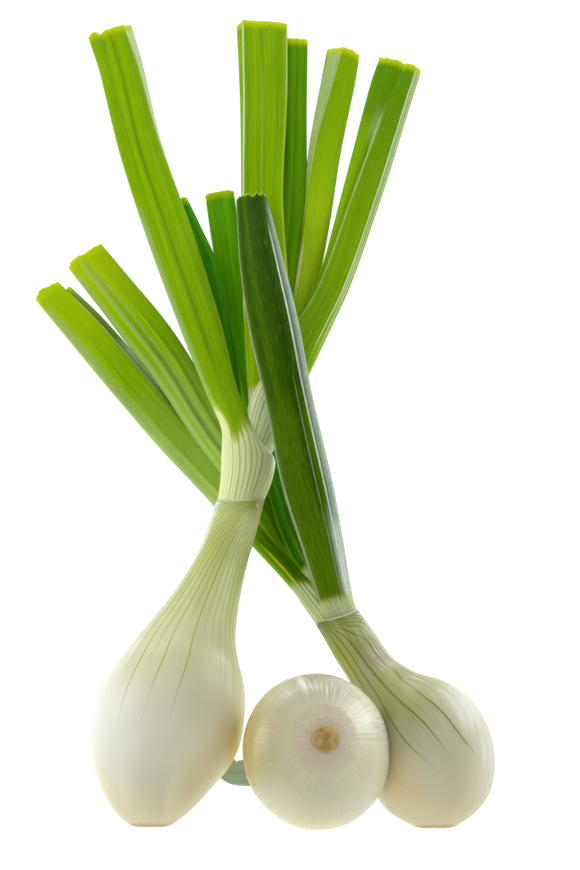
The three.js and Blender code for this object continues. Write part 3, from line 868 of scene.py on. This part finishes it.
SHAPES["right_leaf_1"] = dict(
    sides=108, count=260, square=0.75, base_round=0.12, seed=21, ragged=0.8, pale=pale_until(9.5, 17),
    folds=[
        ([(0, 0.6), (1, 0.55)], 0.08, [(0, 0), (0.15, -0.3), (1, -0.5)], 1.5),
        (0.06, 0.08, [(0, 0), (0.93, 0), (1, 1.3)], 1.3),
        (-0.1, 0.3, [(0, 0), (0.3, 0.4), (0.9, 0.5), (1, 0)], 2),
    ],
    cut=((-1, -0.6), (-0.7, 0.3), (0, 0.2), (0.1, 0.8), (0.5, 0), (0.8, 0.4), (1, -0.8)),
)
LOOKS["right_leaf_1"] = dict(
    dark=(0.022, 0.065, 0.001), light=(0.07, 0.135, 0.002), stripes=42, cloudy=0.5, mottle=0.5,
    bloom=(60, 14, -12, (0.17, 0.3, 0.01), 0.9), line_tint=(0.14, 0.24, 0), line_share=0.4,
    pale=(0.58, 0.64, 0.36), stripe_tint=(0.14, 0.26, 0), edge=(0.06, 0.13, 0.01), edge_share=0.6,
    tip=(0.16, 0.24, 0.02), tip_depth=1.6,
    marks=[
        (0, 0, 1.2, 0.5, (0.01, 0.075, 0), 0.7, 0.4, 1.2),
        (0, 0, 1.2, 0.5, (0.11, 0.2, 0), 0.6, -0.1, 0.46),
        (-0.99, -0.99, 0.035, 0.6, (0.6, 0.68, 0.5), 0.8, 0.3, 1),
        (0.2, 0.3, 0.34, 1, (0.01, 0.04, 0), 0.75, 0.25, 1.1),
        (-0.42, -0.5, 0.26, 1, (0.09, 0.2, 0), 0.6, -0.1, 1.1),
        # the waxy bloom's pale blue-grey with painted sheen along the right edge, whiter low down, and a
        # painted highlight line inside it
        (0.98, 1.02, 0.42, 0.95, (0.5, 0.59, 0.54), 0.85, 0.05, 0.97),
        (0.64, 0.82, 0.4, 1, (0.85, 0.92, 0.84), 0.9, -0.1, 0.22),
        (0.6, 0.64, 0.055, 0.7, (0.75, 0.84, 0.8), 0.9, 0.05, 0.9),
        (0.28, 0.34, 0.035, 0.8, (0.4, 0.5, 0.38), 0.7, 0.06, 0.5),
        (0.06, 0.05, 0.03, 0.8, (0.34, 0.44, 0.1), 0.5, 0.05, 0.28),
        (-0.97, -0.95, 0.06, 0.8, (0.46, 0.54, 0.36), 0.8, 0.04, 0.3),
        (-0.95, -0.97, 0.1, 1, (0.13, 0.22, 0.05), 0.6, 0.3, 1.1),
        # painted sheen streaks in the pale band
        (0.74, 0.8, 0.06, 1, SILVER_SHEEN, 0.5, 0.1, 0.5),
        (0.86, 0.9, 0.06, 1, SILVER_SHEEN, 0.5, 0.25, 0.8),
    ],
)

SHAPES["right_leaf_2"] = dict(
    sides=88, count=220, base_round=0.2, seed=22, pale=pale_until(15, 26, 6),
    folds=[([(0, -0.5), (0.5, -0.5), (1, -0.3)], 0.14, [(0, 0), (0.3, -0.5), (1, -0.7)], 1.3)],
    cut=((-1, -0.6), (-0.4, 0.6), (0.5, 0.3), (1, -0.4)),
)
LOOKS["right_leaf_2"] = dict(
    dark=(0.15, 0.36, 0), light=(0.29, 0.51, 0), pale=(0.74, 0.8, 0.46), mottle=0.3,
    stripe_tint=(0.22, 0.36, 0.01), bloom=(150, 80, 66, (0.45, 0.58, 0.12), 0.8),
    fresh=(80, (0.38, 0.56, 0), 0.9),
    marks=[
        (-0.45, -0.25, 0.03, 0.6, YELLOW_LINE, 0.8, 0.55, 0.86),
        # painted shadow over the lower part near the neck
        (-0.2, -0.2, 1, 0.5, (0.035, 0.15, 0), 0.95, 0.02, 0.29),
        (-0.78, -0.78, 0.09, 0.5, (0.72, 0.8, 0), 1, 0.1, 0.24),
        # the waxy bloom with painted sheen on the left face
        (-0.95, -0.9, 0.45, 0.8, WAX_AND_SHEEN, 0.6, 0.3, 0.95),
        (0.95, 0.95, 0.08, 0.5, (0.7, 0.78, 0.52), 0.6, 0.3, 0.95),
    ],
)

SHAPES["right_leaf_3"] = dict(sides=32, count=110, square=0.7, seed=23, wall=0.3, mouth=8, ragged=0.1)
LOOKS["right_leaf_3"] = dict(
    dark=(0.16, 0.32, 0.02), light=(0.35, 0.5, 0.1),
    marks=[(0, 0, 1.2, 0.3, (0.72, 0.8, 0.55), 0.8, 0.45, 0.72)],
)

SHAPES["right_leaf_4"] = dict(
    count=200, seed=24,
    folds=[
        (0.18, 0.1, -0.7, 1.3), (-0.45, 0.12, -0.5, 1.3), (-0.15, 0.14, 0.5, 1.5),
        (0.05, 0.06, [(0, 0), (0.93, 0), (1, 1.2)], 1.4),
    ],
    cut=((-1, -0.8), (-0.5, 0.4), (0, 0.3), (0.08, -0.6), (0.2, 0.5), (1, 0.9)),
)
LOOKS["right_leaf_4"] = dict(
    dark=(0.16, 0.38, 0), light=(0.31, 0.55, 0), bloom=(130, 80, 60, (0.47, 0.65, 0.12), 0.85),
    fresh=(70, (0.41, 0.58, 0), 0.9),
    marks=[
        (0.25, 0.15, 0.028, 0.6, YELLOW_LINE, 0.75, 0.45, 0.8),
        # the waxy bloom with painted sheen along the ridges and the left edge
        (-0.45, -0.45, 0.16, 1, WAX_AND_SHEEN, 0.6, 0.3, 0.97),
        (-0.05, -0.12, 0.1, 1, WAX_AND_SHEEN, 0.45, 0.3, 0.97),
        (-0.95, -0.95, 0.2, 1, WAX_AND_SHEEN, 0.6, 0.3, 0.97),
        # painted shadow over the lower part near the neck
        (0, 0, 1.2, 0.5, (0.07, 0.22, 0), 0.9, -0.1, 0.31),
        (0.5, 0.5, 0.8, 0.7, (0, 0.09, 0), 0.8, 0.16, 0.33),
        (0.2, 0.2, 1.2, 0.5, (0.22, 0.33, 0), 0.6, -0.1, 0.1),
    ],
)

SHAPES["right_leaf_5"] = dict(
    sides=64, seed=25, wall=0.5, folds=[(0.1, 0.3, 0.5, 1.6)],
    pale=pale_until(3, 9), cut=((-1, -0.6), (0.5, 0.6), (1, 0.2)),
)
LOOKS["right_leaf_5"] = dict(
    dark=(0.07, 0.31, 0), light=(0.2, 0.54, 0),
    marks=[
        # painted shadow on the left side and over the lower part near the neck
        (-0.75, -0.75, 0.4, 1, (0.02, 0.12, 0), 0.8, -0.1, 0.3),
        (0.2, 0.2, 1.2, 0.5, (0.004, 0.1, 0.005), 0.85, -0.1, 0.33),
        (0.1, 0.1, 0.3, 1, (0.34, 0.44, 0), 0.5, -0.1, 0.12),
        (0.88, -0.94, 0.06, 0.6, YELLOW_LINE, 1, 0.35, 0.52),
    ],
)

for name, count, seed in (("middle_leaf_1", 130, 31), ("middle_leaf_2", 110, 32)):
    SHAPES[name] = dict(sides=48, count=count, square=0.8, seed=seed, wall=0.3, mouth=8, ragged=0.15)
    LOOKS[name] = dict(dark=(0.34, 0.46, 0.4), light=(0.6, 0.74, 0.66), tip_depth=1)

SEED_STEP = 4.7
for number, name in enumerate(SHAPES):
    piece = leaf(name, **SHAPES[name])
    piece.data.materials.append(leaf_material(name + "_skin", seed=number * SEED_STEP, **LOOKS[name]))


# ---- Bulbs of the bunch
def lobed(seed, amount, ribs):
    """Relief of a bulb: broad lobes, and fine ribs round it."""
    def relief(theta, along):
        slow = waves(seed, np.cos(theta) * 1.2, along * 0.03 + np.sin(theta), low=0.6, high=1.6)
        fine = waves(seed + 1, theta, along * 0.004, count=5, low=ribs, high=ribs + 0.01)
        return (amount * slow + 0.05 * fine) * smooth(along, 4, 20)
    return relief


left = bulb_piece(
    "left", Sweep(LEFT_BULB, 220, 2.5),
    lambda theta: 4.8 * np.maximum(np.sin(theta), 0) ** 1.5 + 2.7 * (1 - np.cos(theta)),
    (0.62, 8.5), lobed(41, 0.35, 9),
)
left.data.materials.append(bulb_material(
    "left_bulb_skin", 2, 36, (0.38, 0.43, 0.08), neck_reach=115, vein=(0.32, 0.39, 0),
    vein_width=0.36, share=0.95, fade=(58, 88), wander=0.4, thin=0, least=0.6, silk=0.35,
    # painted light whitens the left side
    flank=(-0.62, -0.88, 0.95),
    tints=[
        # painted shade on the neck's right side, and painted rim light on the left side
        ((-29, 26, 37), 28, (0.38, 0.4, 0.18), 0.7), ((-72, 4, 25), 26, (0.6, 0.62, 0.56), 0.9),
        # painted light where the middle bulb's shade falls, and a painted amber glow where they touch
        ((-18, -4, 29), 30, (0.92, 0.86, 0.56), 0.7), ((-16, -6, 20), 18, (1, 0.8, 0.26), 1),
        # painted warm glow low on the front and the left
        ((-38, -28, 8), 30, (0.66, 0.52, 0.22), 0.85), ((-58, -22, 10), 32, (0.64, 0.56, 0.28), 0.7),
        # painted light on the neck's shaded right side, and painted light on the top of the belly
        ((-13, 84, 29), 20, (0.76, 0.78, 0.44), 0.9), ((-43, -6, 50), 26, (0.9, 0.88, 0.68), 0.6),
        # painted white light on the upper left, and painted shade right of the middle
        ((-64, -4, 41), 30, (0.78, 0.79, 0.78), 0.6), ((-26, 3, 47), 20, (0.5, 0.485, 0.34), 0.55),
        # painted shade low on the front right, and a painted amber glow where the middle bulb touches
        ((-31, -21, 32), 16, (0.52, 0.44, 0.14), 0.5), ((-19, -6, 32), 12, (1, 0.7, 0.16), 0.45),
    ],
    spots=[
        # a painted white highlight by the mouth, and a brown dot
        ((-11, 89.8, 30.4), 1.6, (0.94, 0.95, 0.88), 1), ((-10.2, 85.8, 28.8), 1.1, (0.22, 0.12, 0.03), 0.9),
    ],
    # painted highlights on the upper left and on the shoulder
    glints=[
        ((-66, 11, 37), 15, 0.5), ((-59, 25, 39), 13, 0.5),
        ((-23, 19, 44), 7, 0.5), ((-22, 11, 44), 7, 0.4),
    ],
))


def right_swirl(theta, along):
    """The veins bear to the right on the belly, and spread a little where the neck widens."""
    angle = np.clip(np.degrees(theta), 40, 140)
    begins = 30 + 0.11 * (110 - angle) - along
    belly = -2.6 * (begins + np.sqrt(begins**2 + 64)) / 2
    shoulder = -20 * smooth(along, 36, 60) * np.exp(-(((angle - 60) / 30) ** 2))
    return np.radians(belly + shoulder)


right = bulb_piece(
    "right", Sweep(RIGHT_BULB, 200, 2.5),
    lambda theta: 5.1 * np.maximum(np.sin(theta), 0) ** 1.5 + 1.4 * (1 + np.cos(theta)),
    (2.8, 4), lobed(42, 0.3, 8), swirl=right_swirl,
)
right.data.materials.append(bulb_material(
    "right_bulb_skin", 8, 19, (0.25, 0.27, 0.045), 0.92, 80, (0.13, 0.19, 0), 0.4, 1,
    # painted light whitens the right side
    fade=(48, 70), phase=0.26, thin=0.35, least=0.7, lean=8, silk=0.3, flank=(0.55, 0.85, 0.8),
    girdle=(4.6, (0.3, 0.25, 0.07), 0.7),
    tints=[
        # painted shade where the middle bulb hides the light, and painted rim light on the right side
        ((36, 7, 38), 28, (0.29, 0.29, 0.07), 0.9), ((72, -6, 22), 18, (0.6, 0.62, 0.55), 0.7),
        ((16, 30, 16), 20, (0.46, 0.46, 0.02), 0.95), ((31, 30, 29), 9, (0.34, 0.27, 0.19), 0.7),
        # the second patch is a painted warm glow low on the front
        ((26, 4, 10), 24, (0.5, 0.38, 0.12), 0.7), ((50, -30, 8), 38, (0.55, 0.455, 0.18), 0.95),
        # painted light on the right shoulder, and a painted amber glow where the middle bulb touches
        ((62, 8, 37), 16, (0.78, 0.8, 0.74), 0.5), ((37, -21, 33), 14, (0.85, 0.6, 0.21), 0.5),
        ((46, 10, 41), 16, (0.34, 0.35, 0.14), 0.45),
    ],
    # painted highlights in streaks along the neck and the right shoulder
    glints=[
        ((27, 39, 27), 6, 0.6), ((31, 32, 28), 6, 0.6), ((34.6, 25.6, 30), 6, 0.6),
        ((44, 15, 38), 8, 0.35), ((55, 8.5, 41), 9, 0.35), ((63, 0, 39), 10, 0.4),
        ((69, -9, 32), 10, 0.35),
    ],
))


def stretch_body(rings, along):
    """The middle bulb's body is a little longer in y than it is wide."""
    body = smooth(along, 40, 34)[..., None]
    rings = rings.copy()
    rings[..., 1:2] += (rings[..., 1:2] - MIDDLE_ROOT[1]) * (MIDDLE_STRETCH_Y - 1) * body
    return rings


# The middle bulb turns about its axis, and then bends into its neck.
middle_stations = [
    [*(MIDDLE_ROOT + unit(MIDDLE_AXIS) * distance), radius] for distance, radius in MIDDLE_PROFILE
] + MIDDLE_NECK
middle = bulb_piece(
    "middle", Sweep(middle_stations, 200),
    lambda theta: 1.5 * np.sin(theta * 2) + 1.5,
    (0.3, 5), lobed(43, 0.25, 8), stretch=stretch_body,
)
middle.data.materials.append(bulb_material(
    "middle_bulb_skin", 15, 30, neck_reach=12, share=0.6, fade=(6, 14), root_stain=(7.2, 5.8),
    stain_share=0.5, halo=(13, 7, 0.4), gloss=(0.2, 0.34), grain=0.6, specular=0.5,
    tints=[
        # the second patch is painted shade on the left, where the left bulb hides the light
        ((10, -16, 52), 60, (0.76, 0.72, 0.48), 0.45), ((-10, -14, 42), 26, (0.36, 0.345, 0.13), 1),
        ((17, -9, 53), 9, (0.56, 0.46, 0.33), 0.5), ((8, 6, 46), 26, (0.36, 0.35, 0.22), 0.95),
        # painted amber glow and shade on the left, where the left bulb touches
        ((-16, -8, 38), 24, (0.56, 0.42, 0.15), 1), ((-15, -20, 34), 12, (0.7, 0.32, 0.16), 0.6),
        # the second patch is a painted warm glow low on the front
        ((-7, -20, 44), 10, (0.5, 0.52, 0.1), 0.5), ((8, -42, 22), 26, WARM_GLOW, 0.5),
    ],
    # painted highlights on the top and the right
    glints=[((4, 6, 48), 10, 0.85), ((14, 4, 50), 8, 0.85), ((27, -6, 44), 14, 0.7)],
))


# ---- Root stubs
ROOT_PROFILE = [
    (-2.2, 0.05), (-2.2, 1.0), (-0.2, 1.0), (0.1, 0.95), (0.24, 0.88), (0.32, 0.78), (0.4, 0.66),
    (0.42, 0.5), (0.38, 0.35), (0.35, 0.2), (0.33, 0.04),
]
ROOT_SIDES = 64


def root_piece(side, foot, outward, radius, seed, skin_seed):
    """A dry stub: a rough disc, from heights in mm along `outward` and shares of its radius."""
    outward = unit(outward)
    first = unit(np.cross(outward, UP))
    second = np.cross(outward, first)
    theta = columns(ROOT_SIDES, 0)
    rings = []
    for height, share in ROOT_PROFILE:
        rough = 0.07 * waves(seed, theta * 4, np.full_like(theta, share * 9), count=9, high=5)
        high = height + (rough if height > -0.5 else 0)
        reach = radius * share * (1 + 0.02 * waves(seed + 2, theta * 2, theta * 0))
        rings.append(
            foot + np.outer(np.cos(theta) * reach, first) + np.outer(np.sin(theta) * reach, second)
            + np.outer(high * np.ones_like(theta), outward)
        )
    rings = np.array(rings)
    shares = [share if height > -1 else 1.0 for height, share in ROOT_PROFILE]
    turns = np.arange(ROOT_SIDES + 1) / ROOT_SIDES
    rows = np.arange(len(rings))[:, None] * MM
    piece = grid_piece(
        f"{side}_root_stub", rings, {"share": np.outer(shares, np.ones(ROOT_SIDES))},
        {"Rib": np.stack(np.broadcast_arrays(turns, rows), -1)},
    )
    finish_piece(piece, f"{side}_root_plate")
    piece.data.materials.append(root_material(f"{side}_root_skin", skin_seed))


for side, stations in (("left", LEFT_BULB), ("right", RIGHT_BULB)):
    foot, following = np.array(stations[0][:3], float), np.array(stations[1][:3], float)
    root_piece(side, foot, foot - following, radius=6.5, seed=51, skin_seed=1)
root_piece("middle", MIDDLE_ROOT, -MIDDLE_AXIS, radius=5.3, seed=53, skin_seed=2)


# ---- Floor, light and camera
FLOOR_REACH = 4


def floor_piece():
    """A pale sheet that glows a little, so that the shadows on it stay as faint as in the photograph."""
    mesh = bpy.data.meshes.new("floor")
    far = FLOOR_REACH
    mesh.from_pydata([(-far, -far, 0), (far, -far, 0), (far, far, 0), (-far, far, 0)], [], [(0, 1, 2, 3)])
    n = Nodes("floor_paper")
    grain = n.noise(n.place(), 30.0, 2.0, 0.5)
    n.colour = n.mix(grain, (0.29, 0.29, 0.28), (0.32, 0.32, 0.31))
    mesh.materials.append(n.finish(
        0.9, n.bump(grain, 0.05, 0.0002), Specular_IOR_Level=0.1,
        Emission_Color=(0.95, 0.97, 1.0), Emission_Strength=1.0,
    ))
    floor = placed("floor", mesh)


def area_light(name, place, size, power):
    """A soft white light that faces the middle of the frame."""
    data = bpy.data.lights.new(name, "AREA")
    data.shape = "RECTANGLE"
    data.size, data.size_y = size
    data.energy = power
    light = placed(name, data)
    light.location = place
    light.rotation_euler = Vector([-c for c in place]).to_track_quat("-Z", "Y").to_euler()


floor_piece()
area_light("soft_left", (-1.05, 0.2, 0.45), (0.6, 0.9), 6)
area_light("soft_right", (1.05, 0.7, 0.42), (0.8, 0.7), 8)
area_light("soft_front", (-0.9, -0.9, 1.0), (0.8, 0.8), 2.2)
area_light("soft_back", (-0.15, 1.4, 0.5), (1.2, 0.4), 6)

# The sky is brighter at the horizon than overhead.
HORIZON, OVERHEAD = 1.1, 0.25
sky = Nodes("studio", "worlds")
height = sky.axes(sky.node("TexCoord").outputs["Generated"])[2]
strength = sky.node("MapRange", dict(enumerate((height, 0, 0.9, HORIZON, OVERHEAD)))).outputs[0]
sky.node("OutputWorld", {0: sky.node("Background", {0: (1, 1, 1), 1: strength}).outputs[0]})
bpy.context.scene.world = sky.owner
bpy.context.scene.view_settings.view_transform = "Standard"

CAMERA_TILT = 30
lens = bpy.data.cameras.new("camera")
lens.sensor_fit = "VERTICAL"
lens.sensor_height = 36
lens.lens = 150
lens.clip_end = 20
camera = placed("camera", lens)
camera.location = (0.013, -0.6935, 1.18893)
camera.rotation_euler = (math.radians(CAMERA_TILT), 0, 0)
bpy.context.scene.camera = camera
